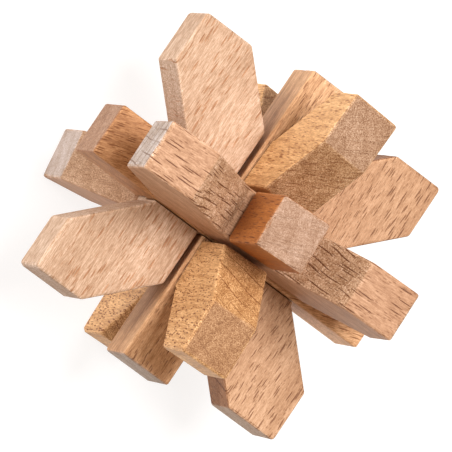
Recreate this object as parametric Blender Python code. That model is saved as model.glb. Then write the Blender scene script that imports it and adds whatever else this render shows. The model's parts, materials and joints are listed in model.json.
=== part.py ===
"""Star-shaped wooden burr puzzle: nine interlocking pieces.

Three flat layers cross at right angles.  Each layer is a square stick with a
board on either side of it, and a board ends in two paddles that point out
along the layer's diagonals.  Four boards are half-lapped onto the two cross
sticks.  The top and bottom boards are bored, and the key stick's turned shank
passes down through them and through the cross sticks' lap joint.

Frame: metres, +Z up, origin on the surface that the puzzle stands on, under
its centre.  X runs along the upper cross stick, Y along the lower one.
"""

import math

import bmesh
import bpy
from mathutils import Euler, Matrix, Vector

# Driving dimensions
BOARD_REACH = 0.0318        # centre of the puzzle to a board's ends and outer edge
BOARD_THICKNESS = 0.0113
BOARD_INNER = 0.0070        # centre of the puzzle to a board's inner edge
CORNER_EDGE = 0.0120        # each of the two edges that meet at a paddle's point
NOTCH_FLOOR = 0.0186        # centre of the puzzle to the floor of a board's notch
STICK_SIDE = 0.0118
STICK_REACH = 0.0356        # centre of the puzzle to a stick's end
SHANK_RADIUS = 0.0030
SHANK_TIP = 0.0300          # centre of the puzzle down to the tip of the key's shank
BORE_RADIUS = 0.0034

GAP = 0.0003                # clearance between faces that meet
LAP_SLACK = 0.0007          # play of a board along the stick that it is lapped onto
LAP_PLANE = GAP / 2         # lap faces stand this far from the middle of the wood
EDGE_ROUND = 0.0005         # sanded radius along the edges
EDGE_SEGMENTS = 2
EDGE_ANGLE = 30             # degrees; gentler bends than this are not rounded
CORNER_ROUND = 0.0008       # radius of the corners in a paddle's outline
CORNER_SEGMENTS = 4
TIP_CHAMFER = 0.0006
ROUND_SIDES = 32            # facets round the shank and the bores
MERGE_DISTANCE = 0.00001    # points closer than this are one point
CUTTER_MARGIN = 0.004       # how far a cutter runs out past the wood

WAIST_CENTRE = (BOARD_INNER + NOTCH_FLOOR) / 2
HALF_STICK = STICK_SIDE / 2

# How the loosely fitting pieces lie: turns about X, Y and Z in degrees, and a
# shift in metres.  A board turns about the middle of its waist, the key about
# the puzzle's centre.
LOOSE_FIT = {
    "top_board": ((0.0, -2.2, 1.2), (0.0, 0.0, 0.0004)),
    "bottom_board": ((0.0, 0.0, 8.6), (0.0, 0.0, 0.0)),
    "front_board": ((0.0, 0.0, 2.2), (0.0005, 0.0003, 0.0)),
    "back_board": ((0.0, 1.2, -2.0), (0.0004, 0.0, 0.00014)),
    "key_stick": ((0.0, 0.0, 3.0), (0.0, 0.0, 0.0009)),
}
STRAIGHT_FIT = ((0.0, 0.0, 0.0), (0.0, 0.0, 0.0))

# Each board's grain and outward directions.  Its third direction, across the
# thickness, is their cross product, and a lap is cut from that positive side.
LAP_BOARDS = {
    "left_board": ((0, 1, 0), (-1, 0, 0)),
    "right_board": ((0, -1, 0), (1, 0, 0)),
    "front_board": ((0, 0, -1), (0, -1, 0)),
    "back_board": ((0, 0, 1), (0, 1, 0)),
}
BORED_BOARDS = {
    "top_board": ((1, 0, 0), (0, 0, 1)),
    "bottom_board": ((1, 0, 0), (0, 0, -1)),
}

# Beech, from pale sapwood to the darker, redder wood of some pieces.
WOOD_COLOURS = {
    "top_board": (0.62, 0.36, 0.21),
    "bottom_board": (0.60, 0.34, 0.20),
    "left_board": (0.67, 0.42, 0.27),
    "right_board": (0.63, 0.38, 0.23),
    "front_board": (0.60, 0.33, 0.17),
    "back_board": (0.64, 0.35, 0.15),
    "upper_cross_stick": (0.63, 0.38, 0.22),
    "lower_cross_stick": (0.57, 0.36, 0.22),
    "key_stick": (0.56, 0.27, 0.12),
}
WOOD_ROUGHNESS = 0.55


def clear_scene():
    for old in list(bpy.data.objects):
        bpy.data.objects.remove(old, do_unlink=True)


def wood_material(name):
    material = bpy.data.materials.new(name + "_wood")
    material.use_nodes = True
    shader = material.node_tree.nodes["Principled BSDF"]
    shader.inputs["Base Color"].default_value = (*WOOD_COLOURS[name], 1.0)
    shader.inputs["Roughness"].default_value = WOOD_ROUGHNESS
    shader.inputs["Metallic"].default_value = 0.0
    return material


def add_object(name, mesh, parent):
    piece = bpy.data.objects.new(name, mesh)
    bpy.context.scene.collection.objects.link(piece)
    piece.parent = parent
    return piece


def mesh_from(form, name):
    bmesh.ops.recalc_face_normals(form, faces=form.faces)
    mesh = bpy.data.meshes.new(name)
    form.to_mesh(mesh)
    form.free()
    return mesh


def prism_mesh(name, outline, depth):
    """Extrude a closed XY outline by depth, centred on Z = 0."""
    form = bmesh.new()
    corners = [form.verts.new((x, y, -depth / 2)) for x, y in outline]
    base = form.faces.new(corners)
    grown = bmesh.ops.extrude_face_region(form, geom=[base])["geom"]
    raised = [part for part in grown if isinstance(part, bmesh.types.BMVert)]
    bmesh.ops.translate(form, verts=raised, vec=(0, 0, depth))
    return mesh_from(form, name)


def box_mesh(name, low, high):
    """A box between two opposite corners."""
    form = bmesh.new()
    size = [h - l for l, h in zip(low, high)]
    middle = [(l + h) / 2 for l, h in zip(low, high)]
    place = Matrix.Translation(middle) @ Matrix.Diagonal((*size, 1))
    bmesh.ops.create_cube(form, size=1, matrix=place)
    return mesh_from(form, name)


def rod_mesh(name, radius, length):
    """A round rod along Z, centred on the origin."""
    form = bmesh.new()
    bmesh.ops.create_cone(form, cap_ends=True, segments=ROUND_SIDES,
                          radius1=radius, radius2=radius, depth=length)
    return mesh_from(form, name)


def lathe_mesh(name, profile):
    """Turn a profile of (radius, height) points about Z; both ends lie on the axis."""
    form = bmesh.new()
    points = [form.verts.new((radius, 0, height)) for radius, height in profile]
    for first, second in zip(points, points[1:]):
        form.edges.new((first, second))
    bmesh.ops.spin(form, geom=form.verts[:] + form.edges[:], axis=(0, 0, 1), cent=(0, 0, 0),
                   angle=2 * math.pi, steps=ROUND_SIDES, use_merge=True)
    bmesh.ops.remove_doubles(form, verts=form.verts, dist=MERGE_DISTANCE)
    return mesh_from(form, name)


def cut_with(piece, mesh, operation="DIFFERENCE"):
    """Cut a piece with, or join it to, a hidden body given in the piece's own frame."""
    tool = add_object(mesh.name, mesh, piece)
    tool.hide_render = True
    tool.display_type = "WIRE"
    cut = piece.modifiers.new(mesh.name, "BOOLEAN")
    cut.operation = operation
    cut.solver = "EXACT"
    cut.object = tool


def round_edges(piece):
    bevel = piece.modifiers.new("sanded_edges", "BEVEL")
    bevel.width = EDGE_ROUND
    bevel.segments = EDGE_SEGMENTS
    bevel.limit_method = "ANGLE"
    bevel.angle_limit = math.radians(EDGE_ANGLE)


def place_piece(piece, name, directions, pivot):
    """Turn a piece's own axes onto three directions, with the pivot and its loose fit."""
    turn = Matrix([Vector(d) for d in directions]).transposed().to_4x4()
    degrees, shift = LOOSE_FIT.get(name, STRAIGHT_FIT)
    loose = Euler([math.radians(angle) for angle in degrees]).to_matrix().to_4x4()
    piece.matrix_local = Matrix.Translation(Vector(pivot) + Vector(shift)) @ loose @ turn


def rounded_corner(before, corner, after):
    """The points of an arc that rounds off one corner of an outline."""
    before, corner, after = Vector(before), Vector(corner), Vector(after)
    to_before = (before - corner).normalized()
    to_after = (after - corner).normalized()
    half_angle = to_before.angle(to_after) / 2
    centre = corner + (to_before + to_after).normalized() * CORNER_ROUND / math.sin(half_angle)
    first = corner + to_before * CORNER_ROUND / math.tan(half_angle) - centre
    turn = first.angle_signed(corner + to_after * CORNER_ROUND / math.tan(half_angle) - centre)
    arc = []
    for step in range(CORNER_SEGMENTS + 1):
        spoke = first.copy()
        spoke.rotate(Matrix.Rotation(-turn * step / CORNER_SEGMENTS, 2))
        arc.append(tuple(centre + spoke))
    return arc


def board_outline():
    """Half of the outline, then its mirror image; a paddle's three corners are rounded.

    X is along the grain, and Y is outward from the middle of the waist.
    """
    inner = BOARD_INNER - WAIST_CENTRE
    outer = BOARD_REACH - WAIST_CENTRE
    floor = NOTCH_FLOOR - WAIST_CENTRE
    end_cut = BOARD_REACH - CORNER_EDGE - BOARD_INNER
    notch_run = BOARD_REACH - NOTCH_FLOOR
    corners = [
        (BOARD_REACH - end_cut, inner),
        (BOARD_REACH, outer - CORNER_EDGE),
        (BOARD_REACH, outer),
        (BOARD_REACH - CORNER_EDGE, outer),
        (BOARD_REACH - CORNER_EDGE - notch_run, floor),
    ]
    paddle = []
    for before, corner, after in zip(corners, corners[1:], corners[2:]):
        paddle += rounded_corner(before, corner, after)
    half = [corners[0], *paddle, corners[-1]]
    return half + [(-x, y) for x, y in reversed(half)]


def add_board(name, grain, outward, centre):
    mesh = prism_mesh(name, board_outline(), BOARD_THICKNESS)
    board = add_object(name, mesh, centre)
    board.data.materials.append(wood_material(name))
    round_edges(board)
    across = Vector(grain).cross(Vector(outward))
    place_piece(board, name, (grain, outward, across), Vector(outward) * WAIST_CENTRE)
    return board


def add_lap_board(name, grain, outward, centre):
    """A board whose waist is cut to half its thickness where a stick crosses it."""
    board = add_board(name, grain, outward, centre)
    half_width = HALF_STICK + GAP
    waist = (NOTCH_FLOOR - BOARD_INNER) / 2 + CUTTER_MARGIN
    low = (-half_width, -waist, -LAP_PLANE)
    high = (half_width, waist, BOARD_THICKNESS)
    cut_with(board, box_mesh(name + "_lap_cutter", low, high))


def add_bored_board(name, grain, outward, centre):
    """A board bored through its waist, from the notch floor to the inner edge."""
    board = add_board(name, grain, outward, centre)
    length = NOTCH_FLOOR - BOARD_INNER + CUTTER_MARGIN
    bore = rod_mesh(name + "_bore_cutter", BORE_RADIUS, length)
    bore.transform(Matrix.Rotation(math.pi / 2, 4, "X"))
    cut_with(board, bore)


def add_stick(name, directions, centre):
    """A square stick along its own X, centred on the puzzle's centre."""
    low = (-STICK_REACH, -HALF_STICK, -HALF_STICK)
    high = (STICK_REACH, HALF_STICK, HALF_STICK)
    stick = add_object(name, box_mesh(name, low, high), centre)
    stick.data.materials.append(wood_material(name))
    round_edges(stick)
    place_piece(stick, name, directions, (0, 0, 0))
    return stick


def bore_stick(stick):
    cut_with(stick, rod_mesh(stick.name + "_bore_cutter", BORE_RADIUS, STICK_SIDE + CUTTER_MARGIN))


def add_upper_cross_stick(centre):
    """Its underside is notched for both side boards and the lower cross stick."""
    stick = add_stick("upper_cross_stick", ((1, 0, 0), (0, 1, 0), (0, 0, 1)), centre)
    half_length = NOTCH_FLOOR + LAP_SLACK
    low = (-half_length, -STICK_SIDE, -STICK_SIDE)
    high = (half_length, STICK_SIDE, LAP_PLANE)
    cut_with(stick, box_mesh("upper_cross_stick_notch_cutter", low, high))
    bore_stick(stick)


def add_lower_cross_stick(centre):
    """Notched on top for the upper stick, and on one side for the front and back boards."""
    stick = add_stick("lower_cross_stick", ((0, 1, 0), (-1, 0, 0), (0, 0, 1)), centre)
    half_width = HALF_STICK + GAP
    low = (-half_width, -STICK_SIDE, -LAP_PLANE)
    high = (half_width, STICK_SIDE, STICK_SIDE)
    cut_with(stick, box_mesh("lower_cross_stick_top_cutter", low, high))
    start = BOARD_INNER - LAP_SLACK
    end = NOTCH_FLOOR + LAP_SLACK
    for side, first, last in (("front", -end, -start), ("back", start, end)):
        low = (first, -STICK_SIDE, -STICK_SIDE)
        high = (last, LAP_PLANE, STICK_SIDE)
        cut_with(stick, box_mesh(f"lower_cross_stick_{side}_cutter", low, high))
    bore_stick(stick)


def add_key_stick(centre):
    """A square head that stands in the top board's notch, on a turned shank."""
    name = "key_stick"
    shoulder = NOTCH_FLOOR + GAP
    low = (-HALF_STICK, -HALF_STICK, shoulder)
    high = (HALF_STICK, HALF_STICK, STICK_REACH)
    key = add_object(name, box_mesh(name, low, high), centre)
    key.data.materials.append(wood_material(name))
    round_edges(key)
    overlap = CUTTER_MARGIN
    shank = [
        (0, -SHANK_TIP),
        (SHANK_RADIUS - TIP_CHAMFER, -SHANK_TIP),
        (SHANK_RADIUS, TIP_CHAMFER - SHANK_TIP),
        (SHANK_RADIUS, shoulder + overlap),
        (0, shoulder + overlap),
    ]
    cut_with(key, lathe_mesh("key_stick_shank", shank), "UNION")
    place_piece(key, name, ((1, 0, 0), (0, 1, 0), (0, 0, 1)), (0, 0, 0))


def build():
    clear_scene()
    centre = add_object("puzzle_centre", None, None)
    centre.location = (0, 0, BOARD_REACH)
    for name, (grain, outward) in LAP_BOARDS.items():
        add_lap_board(name, grain, outward, centre)
    for name, (grain, outward) in BORED_BOARDS.items():
        add_bored_board(name, grain, outward, centre)
    add_upper_cross_stick(centre)
    add_lower_cross_stick(centre)
    add_key_stick(centre)


build()
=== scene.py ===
"""Looks for the wooden burr puzzle: nine pieces of bare beech on a pale studio floor.

The wood is one solid pattern, worked out in three dimensions from each piece's
own grain and pith, so that rings, rays and fibres run from face to face as
they do through sawn wood.  Places are in metres, and the sizes of the wood's
features in millimetres.
"""

import json
import math
import random
from dataclasses import dataclass

import bmesh
import bpy
from mathutils import Euler, Matrix, Vector, noise


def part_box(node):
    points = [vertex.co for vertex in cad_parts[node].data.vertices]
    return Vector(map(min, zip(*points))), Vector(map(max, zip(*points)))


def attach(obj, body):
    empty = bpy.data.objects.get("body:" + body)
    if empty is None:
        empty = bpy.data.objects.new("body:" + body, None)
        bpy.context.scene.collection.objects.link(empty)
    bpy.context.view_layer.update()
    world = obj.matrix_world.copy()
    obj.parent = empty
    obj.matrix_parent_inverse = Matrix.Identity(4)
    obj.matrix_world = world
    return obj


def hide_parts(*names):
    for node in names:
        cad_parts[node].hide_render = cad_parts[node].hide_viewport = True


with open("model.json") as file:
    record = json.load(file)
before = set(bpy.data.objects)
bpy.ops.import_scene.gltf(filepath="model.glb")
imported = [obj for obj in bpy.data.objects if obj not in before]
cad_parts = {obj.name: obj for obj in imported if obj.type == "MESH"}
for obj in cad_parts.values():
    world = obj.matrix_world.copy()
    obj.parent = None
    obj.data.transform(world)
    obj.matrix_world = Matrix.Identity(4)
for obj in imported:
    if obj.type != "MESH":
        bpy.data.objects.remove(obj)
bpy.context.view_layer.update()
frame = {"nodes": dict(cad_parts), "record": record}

MILLIMETRES = 1000.0            # in a metre

# The lower cross stick lies along Y, and its box has the puzzle's centre in its middle
STICK_LOW, STICK_HIGH = [Vector(corner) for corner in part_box("lower_cross_stick")]
PUZZLE_CENTRE = (STICK_LOW + STICK_HIGH) / 2
HALF_LENGTH = (STICK_HIGH.y - STICK_LOW.y) / 2 * MILLIMETRES


# ---------------------------------------------------------------- node helpers

DENSITIES = (0.85, 1.15, 1.5)   # how strongly the wood's own stain takes red, green and blue
SWING_NOISE = (0.30, 0.70)      # stretch of a noise over which a shade swings from low to high


class NodeGraph:
    """Adds shader nodes to one material; each input takes a number or another node's output."""

    def __init__(self, name):
        self.material = bpy.data.materials.new(name)
        self.material.use_nodes = True
        self.tree = self.material.node_tree
        self.shader = self.tree.nodes["Principled BSDF"]

    def feed(self, socket, value):
        """Sets a socket to a number or colour, or links another node's output to it."""
        if isinstance(value, bpy.types.NodeSocket):
            self.tree.links.new(value, socket)
        else:
            socket.default_value = value

    def node(self, kind, **settings):
        """Adds a node of one kind, with the settings given."""
        node = self.tree.nodes.new(kind)
        for setting, value in settings.items():
            setattr(node, setting, value)
        return node

    def math(self, operation, *values):
        """One operation on numbers."""
        node = self.node("ShaderNodeMath", operation=operation)
        for socket, value in zip(node.inputs, values):
            self.feed(socket, value)
        return node.outputs[0]

    def vector(self, operation, *values):
        """One operation on places, directions or colours."""
        node = self.node("ShaderNodeVectorMath", operation=operation)
        for socket, value in zip(node.inputs, values):
            self.feed(socket, value)
        return node.outputs["Value" if operation == "DOT_PRODUCT" else "Vector"]

    def combine(self, *values):
        """Three numbers as one place or colour."""
        node = self.node("ShaderNodeCombineXYZ")
        for socket, value in zip(node.inputs, values):
            self.feed(socket, value)
        return node.outputs[0]

    def noise(self, position, detail=2.0, roughness=0.5):
        """Soft random patches from 0 to 1, about one step of the position across."""
        node = self.node("ShaderNodeTexNoise")
        node.inputs["Scale"].default_value = 1.0
        node.inputs["Detail"].default_value = detail
        node.inputs["Roughness"].default_value = roughness
        self.feed(node.inputs["Vector"], position)
        return node.outputs["Fac"]

    def cells(self, position):
        """Distance to the nearest of some scattered points, and two random values for that point."""
        node = self.node("ShaderNodeTexVoronoi")
        node.inputs["Scale"].default_value = 1.0
        self.feed(node.inputs["Vector"], position)
        split = self.node("ShaderNodeSeparateColor")
        self.feed(split.inputs[0], node.outputs["Color"])
        return node.outputs["Distance"], split.outputs[0], split.outputs[1]

    def ramp(self, value, start, end, low=0.0, high=1.0):
        """Goes smoothly from low to high while the value goes from start to end."""
        node = self.node("ShaderNodeMapRange", interpolation_type="SMOOTHSTEP")
        for socket, number in zip(node.inputs, (value, start, end, low, high)):
            self.feed(socket, number)
        return node.outputs[0]

    def swing(self, value, depth):
        """Turns a noise into a shade that goes as far below 1 as above it."""
        return self.ramp(value, *SWING_NOISE, 1.0 - depth, 1.0 + depth)

    def blend(self, factor, first, second):
        """Mixes two colours; a factor of 0 gives the first."""
        node = self.node("ShaderNodeMix", data_type="RGBA", blend_type="MIX")
        factor_input, first_input, second_input = node.inputs[0], node.inputs[6], node.inputs[7]
        self.feed(factor_input, factor)
        self.feed(first_input, first)
        self.feed(second_input, second)
        return node.outputs[2]

    def shade(self, colour, amount):
        """Darkens or lightens a colour; like stained wood, it turns warmer as it darkens."""
        channels = [self.math("POWER", amount, density) for density in DENSITIES]
        return self.vector("MULTIPLY", colour, self.combine(*channels))


# ---------------------------------------------------------------- beech

SEED_STEP = 37.0                # mm along the trunk between one piece's pattern and the next

# Sizes of the wood's features, in mm around the trunk, out from the pith and along the grain
TRUNK_BENDS = (9.0, 9.0, 30.0)
SHORT_WAVES = (2.2, 2.2, 2.6)
SLOW_TONES = (9.0, 9.0, 40.0)
RUBBED_AND_HIGHLIGHT_SPOTS = (1.4, 1.4, 4.0)
FINE_FIBRES = (0.20, 0.20, 1.9)
BROAD_FIBRES = (0.9, 0.9, 11.0)
SILK_STREAKS = (0.22, 0.9, 2.1)
CUT_PORES = (0.24, 0.24, 0.4)
SMALL_RAYS = (0.32, 7.0, 1.8)
VEIN_BENDS = (4.0, 60.0, 18.0)
VEIN_BREAKS = (1.7, 9.0, 9.0)

LARGE_RAY_WIDTH = 0.40          # mm around the trunk between the large flecks' points
LARGE_RAY_HEIGHT = 12.0         # mm out from the pith
VEIN_WIDTH = 0.19               # mm from the middle of a vein to its edge
END_RING_STEP = 3.2             # mm between the growth rings' outlines on end grain
END_RING_WIDTH = 0.34           # mm from the middle of an outline to its edge
TRUNK_BEND = 1.6                # mm that the wood strays sideways, from side to side
RING_STRAY = 1.5                # how many times further the rings stray than the rays

# Stretches of a noise over which a layer goes from its least to its most
TONE_NOISE = (0.25, 0.75)
RUBBED_AND_HIGHLIGHT_NOISE = (0.35, 0.65)
VEIN_NOISE = (0.35, 0.60)
ROUGHNESS_NOISE = (0.25, 0.75)

# How far each layer lightens or darkens the wood, as shares of its own tone
TONE_RANGE = (0.88, 1.12)       # darkest and lightest
# the paler rounded edges are partly rubbed wear and partly a painted highlight
RUBBED_AND_HIGHLIGHT_RANGE = (0.02, 0.20)     # rounded edges are this much paler
SILK_DEPTH = 0.40
SIDE_FUZZ = 0.5                 # contrast of the pores along the wood
CUT_FUZZ = 1.3                  # and where it is cut across

LATE_WOOD = (0.45, 0.97)        # shares of a ring where it starts to darken and is darkest
FINE_SHARE = 0.6                # share of the fine fibres; the broad ones are the rest
RAY_REACH = 0.24                # of the shortest large fleck round its point, in steps
RAY_SPREAD = 0.22               # how much further the longest one reaches
RAY_CORE = 0.60                 # share of its reach where a large fleck is darkest
SMALL_RAY_REACH = (0.40, 0.14)  # steps from its point where a small fleck starts and is darkest
SMALL_RAY_SHARE = 0.40          # how many of the scattered points carry one
SMALL_RAY_DARKNESS = 0.6        # next to the large flecks
QUARTER_LOSS = 0.88             # share of the flecks' darkness lost on faces flat to the rays
END_LOSS = 0.8                  # and on end grain

# Cosines between which one kind of cut turns into the next: of the angle from a face's normal to
# the grain for slanting cuts and end grain, and to the way round the trunk for faces flat to the rays
FACET_COSINES = (0.35, 0.66)
END_COSINES = (0.80, 0.97)
QUARTER_COSINES = (0.70, 0.95)

ROUGHNESS_RANGE = (0.50, 0.64)
CUT_ROUGHNESS = 0.10            # added where the wood is cut across
SPECULAR_LEVEL = 0.3
FIBRE_RELIEF = 0.4              # shares of the bump's depth
FLECK_RELIEF = -0.7
PORE_RELIEF = 0.8
BUMP_STRENGTH = 0.7
BUMP_DEPTH = 0.00013            # metres


@dataclass
class Look:
    """How one piece was sawn from the trunk, and the tint of its wood."""
    grain: tuple                    # along the trunk
    radial: tuple                   # from the pith outward
    side: tuple                     # tint of faces that run along the grain
    facet: tuple                    # tint of faces cut at 45 degrees to the grain
    end: tuple                      # tint of end grain
    turn: tuple = (0.0, 0.0, 0.0)   # how the piece lies in the puzzle, in degrees
    pith: float = 80.0              # mm from the puzzle's centre to the pith
    ring: float = 5.0               # mm between growth rings
    rings: float = 0.12             # darkness of the late wood in each ring
    rays: float = 0.9               # darkness of the ray flecks
    ray_share: float = 0.75         # how many of the scattered points carry a large fleck
    ray_size: float = 1.0           # size of the flecks, as a multiple of the usual one
    ray_length: float = 4.8         # mm along the grain between the large flecks' points
    ray_tint: tuple = (0.36, 0.24, 0.17)    # share of the wood's colour left by a full fleck
    facet_rays: float = 1.0         # share of the flecks' darkness left where it is cut across
    veins: float = 0.3              # darkness of the long rays on slanting cuts
    end_veins: float = 0.15         # and on end grain
    vein_step: float = 1.3          # mm around the trunk between them, roughly
    vein_stray: float = 2.2         # mm that they wander from their place
    end_rings: float = 0.0          # darkness of the growth rings' outlines on end grain
    silk: float = 0.25              # strength of the silky streaks
    fibre: float = 0.22             # how much the fibres lighten or darken the wood
    fuzz: float = 1.0               # contrast of the pores where the wood is cut across
    end_fuzz: float = 1.0           # share of it left on end grain
    figure: float = 0.0             # mm that the fibres wander over short distances
    # painted light and shade: one end of the piece lighter and the other darker, for how the light
    # falls along it
    painted_end_light: float = 0.0              # how much lighter the wood is at one end than in the middle
    seed: float = 0.0               # which stretch of the trunk the piece is from


class Beech(NodeGraph):
    """Solid beech, patterned by each point's place in the trunk, in millimetres."""

    def __init__(self, name, look):
        super().__init__(name + "_beech")
        self.look = look
        self.coordinates = self.node("ShaderNodeTexCoord")
        self.find_place()
        self.find_cut()

    def along_axis(self, place, direction):
        """How far a place lies along a direction, in mm."""
        distance = self.vector("DOT_PRODUCT", place, tuple(direction))
        return self.math("MULTIPLY", distance, MILLIMETRES)

    def find_place(self):
        """Works out how far a point is around the trunk, out from the pith and along the grain."""
        look = self.look
        turn = Euler([math.radians(angle) for angle in look.turn]).to_matrix()
        self.grain = (turn @ Vector(look.grain)).normalized()
        radial = turn @ Vector(look.radial)
        radial = (radial - self.grain * radial.dot(self.grain)).normalized()
        self.tangent = self.grain.cross(radial)
        place = self.vector("SUBTRACT", self.coordinates.outputs["Object"], tuple(PUZZLE_CENTRE))
        out = self.math("ADD", self.along_axis(place, radial), look.pith)
        across = self.along_axis(place, self.tangent)
        self.reach = self.along_axis(place, self.grain)
        self.along = self.math("ADD", self.reach, look.seed * SEED_STEP)
        across_squared = self.math("MULTIPLY", across, across)
        self.radius = self.math("SQRT", self.math("MULTIPLY_ADD", out, out, across_squared))
        self.around = self.math("MULTIPLY", self.math("ARCTAN2", across, out), look.pith)
        self.wander(self.noise(self.scaled(*TRUNK_BENDS), detail=1.0), TRUNK_BEND)
        if look.figure:
            self.wander(self.noise(self.scaled(*SHORT_WAVES), detail=1.0), look.figure)

    def wander(self, pattern, distance):
        """Shifts the wood sideways by up to half of a distance each way."""
        shift = self.math("MULTIPLY", self.math("SUBTRACT", pattern, 0.5), distance)
        self.around = self.math("ADD", self.around, shift)
        self.radius = self.math("MULTIPLY_ADD", shift, RING_STRAY, self.radius)

    def find_cut(self):
        """Finds how the face was cut: along the grain, slanting, end grain or flat to the rays."""
        normal = self.coordinates.outputs["Normal"]
        slant = self.math("ABSOLUTE", self.vector("DOT_PRODUCT", normal, tuple(self.grain)))
        flat = self.math("ABSOLUTE", self.vector("DOT_PRODUCT", normal, tuple(self.tangent)))
        self.on_facet = self.ramp(slant, *FACET_COSINES)
        self.on_end = self.ramp(slant, *END_COSINES)
        self.on_quarter = self.ramp(flat, *QUARTER_COSINES)
        self.on_cut = self.math("MAXIMUM", self.on_facet, self.on_end)
        rounded = self.node("ShaderNodeAttribute", attribute_name="rounded")
        self.on_edge = rounded.outputs["Fac"]

    def scaled(self, around, radius, along):
        """The place in the trunk, with each of its directions measured in steps of some mm."""
        return self.combine(self.math("MULTIPLY", self.around, 1 / around),
                            self.math("MULTIPLY", self.radius, 1 / radius),
                            self.math("MULTIPLY", self.along, 1 / along))

    def tint(self):
        """The wood's colour, by the kind of cut."""
        look = self.look
        colour = self.blend(self.on_facet, (*look.side, 1.0), (*look.facet, 1.0))
        return self.blend(self.on_end, colour, (*look.end, 1.0))

    def tone(self):
        """Slow changes of tone, the late wood that ends each growth ring, and painted light and shade
        towards the piece's ends.
        """
        slow = self.ramp(self.noise(self.scaled(*SLOW_TONES)), *TONE_NOISE, *TONE_RANGE)
        ring = self.math("FRACT", self.math("MULTIPLY", self.radius, 1 / self.look.ring))
        late = self.math("MULTIPLY", self.ramp(ring, *LATE_WOOD), self.look.rings)
        tone = self.math("MULTIPLY", slow, self.math("SUBTRACT", 1.0, late))
        # Painted light and shade: lighter towards one end of the piece and darker towards the other
        painted_end_light = self.math("MULTIPLY_ADD", self.reach, self.look.painted_end_light / HALF_LENGTH, 1.0)
        return self.math("MULTIPLY", tone, painted_end_light)

    def rubbing_and_edge_highlight(self):
        """Spots where the rounded edges are paler than the faces: partly rubbed wear, partly a painted
        highlight.
        """
        # How much paler each edge is, as rubbed wear and painted highlight together
        rubbed = self.ramp(self.noise(self.scaled(*RUBBED_AND_HIGHLIGHT_SPOTS)), *RUBBED_AND_HIGHLIGHT_NOISE, *RUBBED_AND_HIGHLIGHT_RANGE)
        return self.math("MULTIPLY_ADD", self.on_edge, rubbed, 1.0)

    def fibres(self):
        """Fine and broader streaks along the grain, from 0 to 1."""
        fine = self.noise(self.scaled(*FINE_FIBRES), roughness=0.6)
        broad = self.noise(self.scaled(*BROAD_FIBRES))
        return self.math("MULTIPLY_ADD", fine, FINE_SHARE, self.math("MULTIPLY", broad, 1 - FINE_SHARE))

    def silk(self):
        """Short satin streaks, paler and darker than the wood around them."""
        streak = self.noise(self.scaled(*SILK_STREAKS), roughness=0.65)
        return self.swing(streak, SILK_DEPTH * self.look.silk)

    def pores(self):
        """Fuzz where cut fibre ends show, from 0 to 1."""
        return self.noise(self.scaled(*CUT_PORES), detail=1.0, roughness=0.7)

    def fuzz(self, pores):
        """How the pores lighten or darken the wood."""
        look = self.look
        depth = self.math("MULTIPLY_ADD", self.on_cut, CUT_FUZZ * look.fuzz - SIDE_FUZZ, SIDE_FUZZ)
        if look.end_fuzz < 1:
            depth = self.math("MULTIPLY", depth, self.ramp(self.on_end, 0.0, 1.0, 1.0, look.end_fuzz))
        fuzz = self.math("MULTIPLY", self.math("SUBTRACT", pores, 0.5), depth)
        return self.math("ADD", fuzz, 1.0)

    def large_flecks(self):
        """Thin ribbons that stand along the grain and run out from the pith."""
        look = self.look
        size = look.ray_size
        place = self.scaled(LARGE_RAY_WIDTH * size, LARGE_RAY_HEIGHT, look.ray_length * size)
        distance, chance, spread = self.cells(place)
        reach = self.math("MULTIPLY_ADD", spread, RAY_SPREAD, RAY_REACH)
        fleck = self.ramp(self.math("DIVIDE", distance, reach), 1.0, RAY_CORE)
        return self.math("MULTIPLY", fleck, self.math("LESS_THAN", chance, look.ray_share))

    def small_flecks(self):
        """Narrower and paler ones between them."""
        width, height, length = SMALL_RAYS
        size = self.look.ray_size
        distance, chance, _ = self.cells(self.scaled(width * size, height, length * size))
        fleck = self.ramp(distance, *SMALL_RAY_REACH, 0.0, SMALL_RAY_DARKNESS)
        return self.math("MULTIPLY", fleck, self.math("LESS_THAN", chance, SMALL_RAY_SHARE))

    def flecks(self):
        """All the ray flecks, from 0 to 1, as far as this kind of cut shows them."""
        shown = self.math("MULTIPLY_ADD", self.on_quarter, -QUARTER_LOSS, 1.0)
        if self.look.facet_rays < 1:
            left = self.ramp(self.on_facet, 0.0, 1.0, 1.0, self.look.facet_rays)
            shown = self.math("MULTIPLY", shown, left)
        flecks = self.math("MAXIMUM", self.large_flecks(), self.small_flecks())
        return self.math("MULTIPLY", flecks, shown)

    def ring_outlines(self):
        """The growth rings' dark outlines on end grain."""
        gap = self.math("PINGPONG", self.radius, END_RING_STEP / 2)
        outline = self.ramp(gap, END_RING_WIDTH, 0.0, 0.0, self.look.end_rings)
        return self.math("MULTIPLY", outline, self.on_end)

    def veins(self):
        """Long, hair-thin rays that show across end grain and slanting cuts."""
        look = self.look
        stray = self.noise(self.scaled(*VEIN_BENDS), detail=0.0)
        place = self.math("MULTIPLY_ADD", stray, look.vein_stray, self.around)
        gap = self.math("PINGPONG", place, look.vein_step / 2)
        strength = self.ramp(self.noise(self.scaled(*VEIN_BREAKS), detail=0.0), *VEIN_NOISE)
        line = self.math("MULTIPLY", self.ramp(gap, VEIN_WIDTH, 0.0), strength)
        shown = self.math("MULTIPLY", self.on_facet, look.veins)
        shown = self.math("MULTIPLY_ADD", self.on_end, look.end_veins - look.veins, shown)
        return self.math("MULTIPLY", line, shown)

    def stained(self, colour, flecks):
        """The wood's colour with its rays and ring outlines on it."""
        fade = self.math("MULTIPLY_ADD", self.on_end, -END_LOSS, 1.0)
        stain = self.math("MULTIPLY", self.math("MULTIPLY", flecks, self.look.rays), fade)
        lines = self.veins()
        if self.look.end_rings:
            lines = self.math("MAXIMUM", lines, self.ring_outlines())
        stain = self.math("MAXIMUM", stain, lines)
        return self.blend(stain, colour, self.vector("MULTIPLY", colour, self.look.ray_tint))

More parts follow.
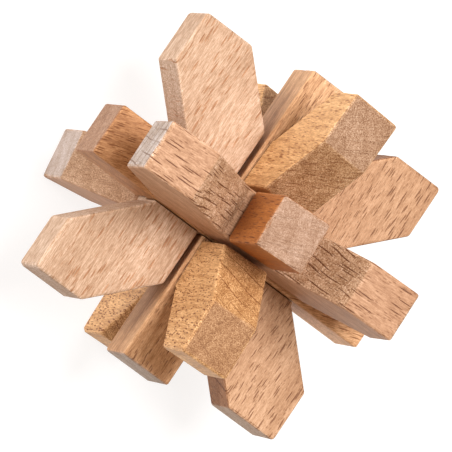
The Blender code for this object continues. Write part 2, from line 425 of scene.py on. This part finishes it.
    def roughness(self, fibres):
        """Satin along the grain, and a little rougher where the wood is cut across."""
        rough = self.ramp(fibres, *ROUGHNESS_NOISE, *ROUGHNESS_RANGE)
        return self.math("MULTIPLY_ADD", self.on_cut, CUT_ROUGHNESS, rough)

    def relief(self, fibres, pores, flecks):
        """Raised fibres, sunken flecks, and a grainy surface where the wood is cut across."""
        sunken = self.math("MULTIPLY", flecks, FLECK_RELIEF)
        height = self.math("MULTIPLY_ADD", fibres, FIBRE_RELIEF, sunken)
        grainy = self.math("MULTIPLY", pores, self.math("MULTIPLY", self.on_cut, PORE_RELIEF))
        bump = self.node("ShaderNodeBump")
        bump.inputs["Strength"].default_value = BUMP_STRENGTH
        bump.inputs["Distance"].default_value = BUMP_DEPTH
        self.feed(bump.inputs["Height"], self.math("ADD", height, grainy))
        return bump.outputs[0]

    def finish(self):
        """Joins the layers into the shader's colour, roughness and bump."""
        fibres = self.fibres()
        pores = self.pores()
        flecks = self.flecks()
        colour = self.shade(self.tint(), self.tone())
        # Paler rounded edges: rubbed wear and a painted highlight
        colour = self.shade(colour, self.rubbing_and_edge_highlight())
        colour = self.shade(colour, self.swing(fibres, self.look.fibre))
        colour = self.shade(colour, self.silk())
        colour = self.shade(colour, self.fuzz(pores))
        self.feed(self.shader.inputs["Base Color"], self.stained(colour, flecks))
        self.feed(self.shader.inputs["Roughness"], self.roughness(fibres))
        self.feed(self.shader.inputs["Normal"], self.relief(fibres, pores, flecks))
        self.shader.inputs["Specular IOR Level"].default_value = SPECULAR_LEVEL
        return self.material


LOOKS = {
    "top_board": Look(
        grain=(1, 0, 0), radial=(0, -0.22, 1), turn=(0.0, -2.2, 1.2),
        side=(0.469, 0.251, 0.138), facet=(0.470, 0.275, 0.160), end=(0.480, 0.385, 0.330),
        rays=1.0, ray_share=0.9, ray_size=0.85, ray_length=9.0, veins=0.3, fibre=0.30,
        end_veins=0.9, end_rings=0.75, vein_step=2.3, vein_stray=0.7, fuzz=1.6, end_fuzz=0.3,
        seed=1.0),
    "bottom_board": Look(
        grain=(1, 0, 0), radial=(0, 0.3, 1), turn=(0.0, 0.0, 8.6),
        side=(0.490, 0.265, 0.145), facet=(0.540, 0.335, 0.208), end=(0.480, 0.370, 0.312),
        rays=0.7, facet_rays=0.4, veins=0.15, fuzz=1.4, end_fuzz=0.4, seed=2.0),
    "left_board": Look(
        grain=(0, 1, 0), radial=(0.4, 0, 0.9),
        side=(0.560, 0.366, 0.242), facet=(0.490, 0.325, 0.222), end=(0.483, 0.320, 0.220),
        rays=0.75, ray_share=0.4, ray_size=1.4, ray_length=3.3, veins=0.15, silk=0.60, fibre=0.15,
        ray_tint=(0.72, 0.47, 0.27), seed=3.0),
    "right_board": Look(
        grain=(0, -1, 0), radial=(0.15, 0, 1),
        side=(0.552, 0.316, 0.178), facet=(0.330, 0.150, 0.068), end=(0.420, 0.280, 0.190),
        rays=0.85, ray_share=0.7, ray_size=0.8, ray_length=5.0, veins=0.15, figure=0.35,
        ray_tint=(0.40, 0.27, 0.19), painted_end_light=0.10, seed=4.0),
    "front_board": Look(
        grain=(0, 0, -1), radial=(1, -0.08, 0), turn=(0.0, 0.0, 2.2),
        side=(0.620, 0.335, 0.143), facet=(0.530, 0.272, 0.110), end=(0.358, 0.179, 0.080),
        rays=1.0, ray_share=0.85, ray_size=0.95, ray_length=1.6, facet_rays=0.2, veins=0.9,
        end_veins=0.25, vein_step=2.6, fuzz=1.8, fibre=0.38, ray_tint=(0.34, 0.19, 0.10), seed=5.0),
    "back_board": Look(
        grain=(0, 0, 1), radial=(1, 0.45, 0), turn=(0.0, 1.2, -2.0),
        side=(0.700, 0.393, 0.172), facet=(0.465, 0.262, 0.132), end=(0.365, 0.208, 0.120),
        rays=0.75, ray_share=0.8, ray_size=0.70, ray_length=4.0, facet_rays=0.8, veins=0.2, fuzz=1.7,
        fibre=0.32, ray_tint=(0.46, 0.26, 0.13), seed=6.0),
    "upper_cross_stick": Look(
        grain=(1, 0.33, 0), radial=(0, 0.3, 1),
        side=(0.610, 0.318, 0.148), facet=(0.490, 0.255, 0.143), end=(0.530, 0.330, 0.226),
        rays=0.85, ray_share=0.85, ray_size=0.8, fibre=0.32, painted_end_light=0.33,
        ray_tint=(0.45, 0.29, 0.18), seed=7.0),
    "lower_cross_stick": Look(
        grain=(0, 1, 0), radial=(0.3, 0, 1),
        side=(0.585, 0.320, 0.160), facet=(0.440, 0.230, 0.130), end=(0.420, 0.310, 0.240),
        rays=0.8, ray_share=0.6, ray_size=1.0, ray_length=3.2, fibre=0.30, painted_end_light=0.08, seed=8.0),
    "key_stick": Look(
        grain=(0, 0, 1), radial=(1, 0.3, 0), turn=(0.0, 0.0, 3.0),
        # The side tint is the key's own wood, darkened and warmed further as painted shade for the
        # shade its sides sit in between the boards
        side=(0.395, 0.132, 0.029), facet=(0.380, 0.200, 0.110), end=(0.425, 0.260, 0.174),
        rays=0.9, seed=9.0),
}


# ---------------------------------------------------------------- worn pieces

# Lengths in metres
STRIP_WIDTH = 0.0005            # a face narrower than this is part of a rounded edge
STRIP_STEP = 0.0007             # spacing of the cuts across the rounded edges
SAME_POINT = 0.000001           # corners closer than this are one
SAME_CUT = 0.0000001            # a corner closer than this to a cut lies on it
WEAR_DEPTH = 0.00005            # how far the edges are rubbed back, roughly
CHIP_SIZES = (0.0006, 0.0014)   # radius of the smallest and the largest chip
CHIP_DEPTHS = (0.00008, 0.00030)

CHIPS_PER_PIECE = 9
MEAN_WEAR = 0.6                 # as a share of the wear depth
BROAD_WEAR = 350                # slow changes of the wear in a metre
FINE_WEAR = 1300                # quick ones
FINE_WEAR_SHARE = 0.7           # their strength next to the slow ones
FLAT_ANGLE = 0.5                # degrees; faces that meet flatter than this become one


def is_strip(face):
    """Tells a long, narrow face of a rounded edge from the flat faces."""
    longest = max(edge.calc_length() for edge in face.edges)
    return face.calc_area() < longest * STRIP_WIDTH


def slice_strips(form, marks, axis, low, high):
    """Cuts the rounded edges, and only those, by planes across one axis."""
    normal = Vector((0, 0, 0))
    normal[axis] = 1
    for step in range(1, math.ceil((high[axis] - low[axis]) / STRIP_STEP)):
        level = low[axis] + step * STRIP_STEP
        crossing = []
        for face in form.faces:
            if not face[marks]:
                continue
            heights = [vertex.co[axis] for vertex in face.verts]
            if min(heights) < level < max(heights):
                crossing.append(face)
        if not crossing:
            continue
        edges = {edge for face in crossing for edge in face.edges}
        corners = {vertex for face in crossing for vertex in face.verts}
        bmesh.ops.bisect_plane(form, geom=[*corners, *edges, *crossing], dist=SAME_CUT,
                               plane_co=normal * level, plane_no=normal)


def choose_chips(worn, name):
    """Scatters a piece's chips over its rounded edges: place, radius and depth of each."""
    chooser = random.Random(name)
    chips = []
    for _ in range(CHIPS_PER_PIECE):
        place = chooser.choice(worn).co.copy()
        chips.append((place, chooser.uniform(*CHIP_SIZES), chooser.uniform(*CHIP_DEPTHS)))
    return chips


def wear_depth(point, chips):
    """How far a rounded edge is rubbed or chipped back at a point."""
    broad = noise.noise(point * BROAD_WEAR)
    fine = noise.noise(point * FINE_WEAR)
    depth = WEAR_DEPTH * (MEAN_WEAR + broad + FINE_WEAR_SHARE * fine)
    for place, radius, chip in chips:
        distance = (point - place).length / radius
        if distance < 1:
            depth = max(depth, chip * (1 - distance ** 2))
    return max(depth, 0)


def wear_edges(form, marks, name):
    """Rubs the rounded edges back unevenly, but keeps the flat faces flat."""
    worn = [vertex for vertex in form.verts if any(face[marks] for face in vertex.link_faces)]
    chips = choose_chips(worn, name)
    moves = []
    for vertex in worn:
        strips = [face.normal for face in vertex.link_faces if face[marks]]
        inward = -sum(strips, Vector()).normalized()
        for face in vertex.link_faces:
            if not face[marks]:
                inward -= face.normal * inward.dot(face.normal)
        moves.append((vertex, inward * wear_depth(vertex.co, chips)))
    for vertex, move in moves:
        vertex.co += move


def worn_mesh(name):
    """A CAD piece's shape again, with its rounded edges divided finely and worn."""
    form = bmesh.new()
    form.from_mesh(frame["nodes"][name].data)
    bmesh.ops.remove_doubles(form, verts=form.verts, dist=SAME_POINT)
    bmesh.ops.dissolve_limit(form, angle_limit=math.radians(FLAT_ANGLE),
                             verts=form.verts, edges=form.edges)
    form.normal_update()
    marks = form.faces.layers.int.new("rounded")
    for face in form.faces:
        face[marks] = is_strip(face)
        face.smooth = False
    for axis in range(3):
        slice_strips(form, marks, axis, *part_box(name))
    form.normal_update()
    wear_edges(form, marks, name)
    mesh = bpy.data.meshes.new(name + "_worn")
    form.to_mesh(mesh)
    form.free()
    return mesh


def worn_piece(name, material, body):
    """Puts a worn and grained piece in the place of its plain CAD node."""
    mesh = worn_mesh(name)
    mesh.materials.append(material)
    piece = bpy.data.objects.new(name + "_wood", mesh)
    bpy.context.scene.collection.objects.link(piece)
    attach(piece, body)
    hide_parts(name)


# ---------------------------------------------------------------- studio

# Camera: a long lens, high above the front left of the puzzle, rolled about its axis
AIM_POINT = PUZZLE_CENTRE + Vector((-0.00087, -0.00063, -0.00039))
TO_CAMERA = Vector((-0.3058, -0.1570, 0.9391))
IMAGE_UP = Vector((-0.5703, 0.8200, -0.0486))
CAMERA_DISTANCE = 1.2236
LENS = 471.4                    # mm
SENSOR_WIDTH = 36               # mm

FLOOR_REACH = 3.0               # metres each way from the puzzle
FLOOR_GREY = 0.28
FLOOR_ROUGHNESS = 0.9
FLOOR_GLOW = 0.80               # brings the floor near white, and keeps the shadow on it faint

SKY_COLOUR = (1.0, 0.83, 0.68)
SKY_STRENGTH = 0.40

# Square softboxes: place from the puzzle's centre and side in metres, and power in watts
OVERHEAD_LIGHT = ((0.03, 0.24, 0.87), 0.42, 8.9)
LEFT_LIGHT = ((-0.90, 0.0, 0.25), 0.5, 5.2)


def make_camera():
    """Aims the camera at the puzzle."""
    data = bpy.data.cameras.new("camera")
    data.lens = LENS
    data.sensor_width = SENSOR_WIDTH
    camera = bpy.data.objects.new("camera", data)
    bpy.context.scene.collection.objects.link(camera)
    backward = TO_CAMERA.normalized()
    right = IMAGE_UP.cross(backward).normalized()
    up = backward.cross(right)
    turn = Matrix((right, up, backward)).transposed().to_4x4()
    camera.matrix_world = Matrix.Translation(AIM_POINT + backward * CAMERA_DISTANCE) @ turn
    bpy.context.scene.camera = camera


def floor_material():
    """A plain, matt grey that glows, so that it looks near white."""
    material = bpy.data.materials.new("pale_floor")
    material.use_nodes = True
    shader = material.node_tree.nodes["Principled BSDF"]
    shader.inputs["Base Color"].default_value = (FLOOR_GREY, FLOOR_GREY, FLOOR_GREY, 1)
    shader.inputs["Roughness"].default_value = FLOOR_ROUGHNESS
    shader.inputs["Emission Color"].default_value = (1, 1, 1, 1)
    shader.inputs["Emission Strength"].default_value = FLOOR_GLOW
    return material


def make_floor():
    """One wide square under the puzzle."""
    reach = FLOOR_REACH
    corners = [(-reach, -reach, 0), (reach, -reach, 0), (reach, reach, 0), (-reach, reach, 0)]
    form = bpy.data.meshes.new("floor")
    form.from_pydata(corners, [], [(0, 1, 2, 3)])
    form.materials.append(floor_material())
    floor = bpy.data.objects.new("floor", form)
    bpy.context.scene.collection.objects.link(floor)


def make_sky():
    """Even, warm light from all round."""
    world = bpy.data.worlds.new("studio")
    bpy.context.scene.world = world
    world.use_nodes = True
    background = world.node_tree.nodes["Background"]
    background.inputs["Color"].default_value = (*SKY_COLOUR, 1)
    background.inputs["Strength"].default_value = SKY_STRENGTH


def add_softbox(name, place, size, power):
    """A square light that faces the puzzle."""
    data = bpy.data.lights.new(name, "AREA")
    data.size = size
    data.energy = power
    lamp = bpy.data.objects.new(name, data)
    bpy.context.scene.collection.objects.link(lamp)
    lamp.location = PUZZLE_CENTRE + Vector(place)
    lamp.rotation_euler = (-Vector(place)).to_track_quat("-Z", "Y").to_euler()


make_camera()
make_floor()
make_sky()
add_softbox("overhead_light", *OVERHEAD_LIGHT)
add_softbox("left_light", *LEFT_LIGHT)
bpy.context.scene.view_settings.view_transform = "Standard"

for body, nodes in frame["record"]["behaviour"]["bodies"].items():
    for name in nodes:
        worn_piece(name, Beech(name, LOOKS[name]).finish(), body)
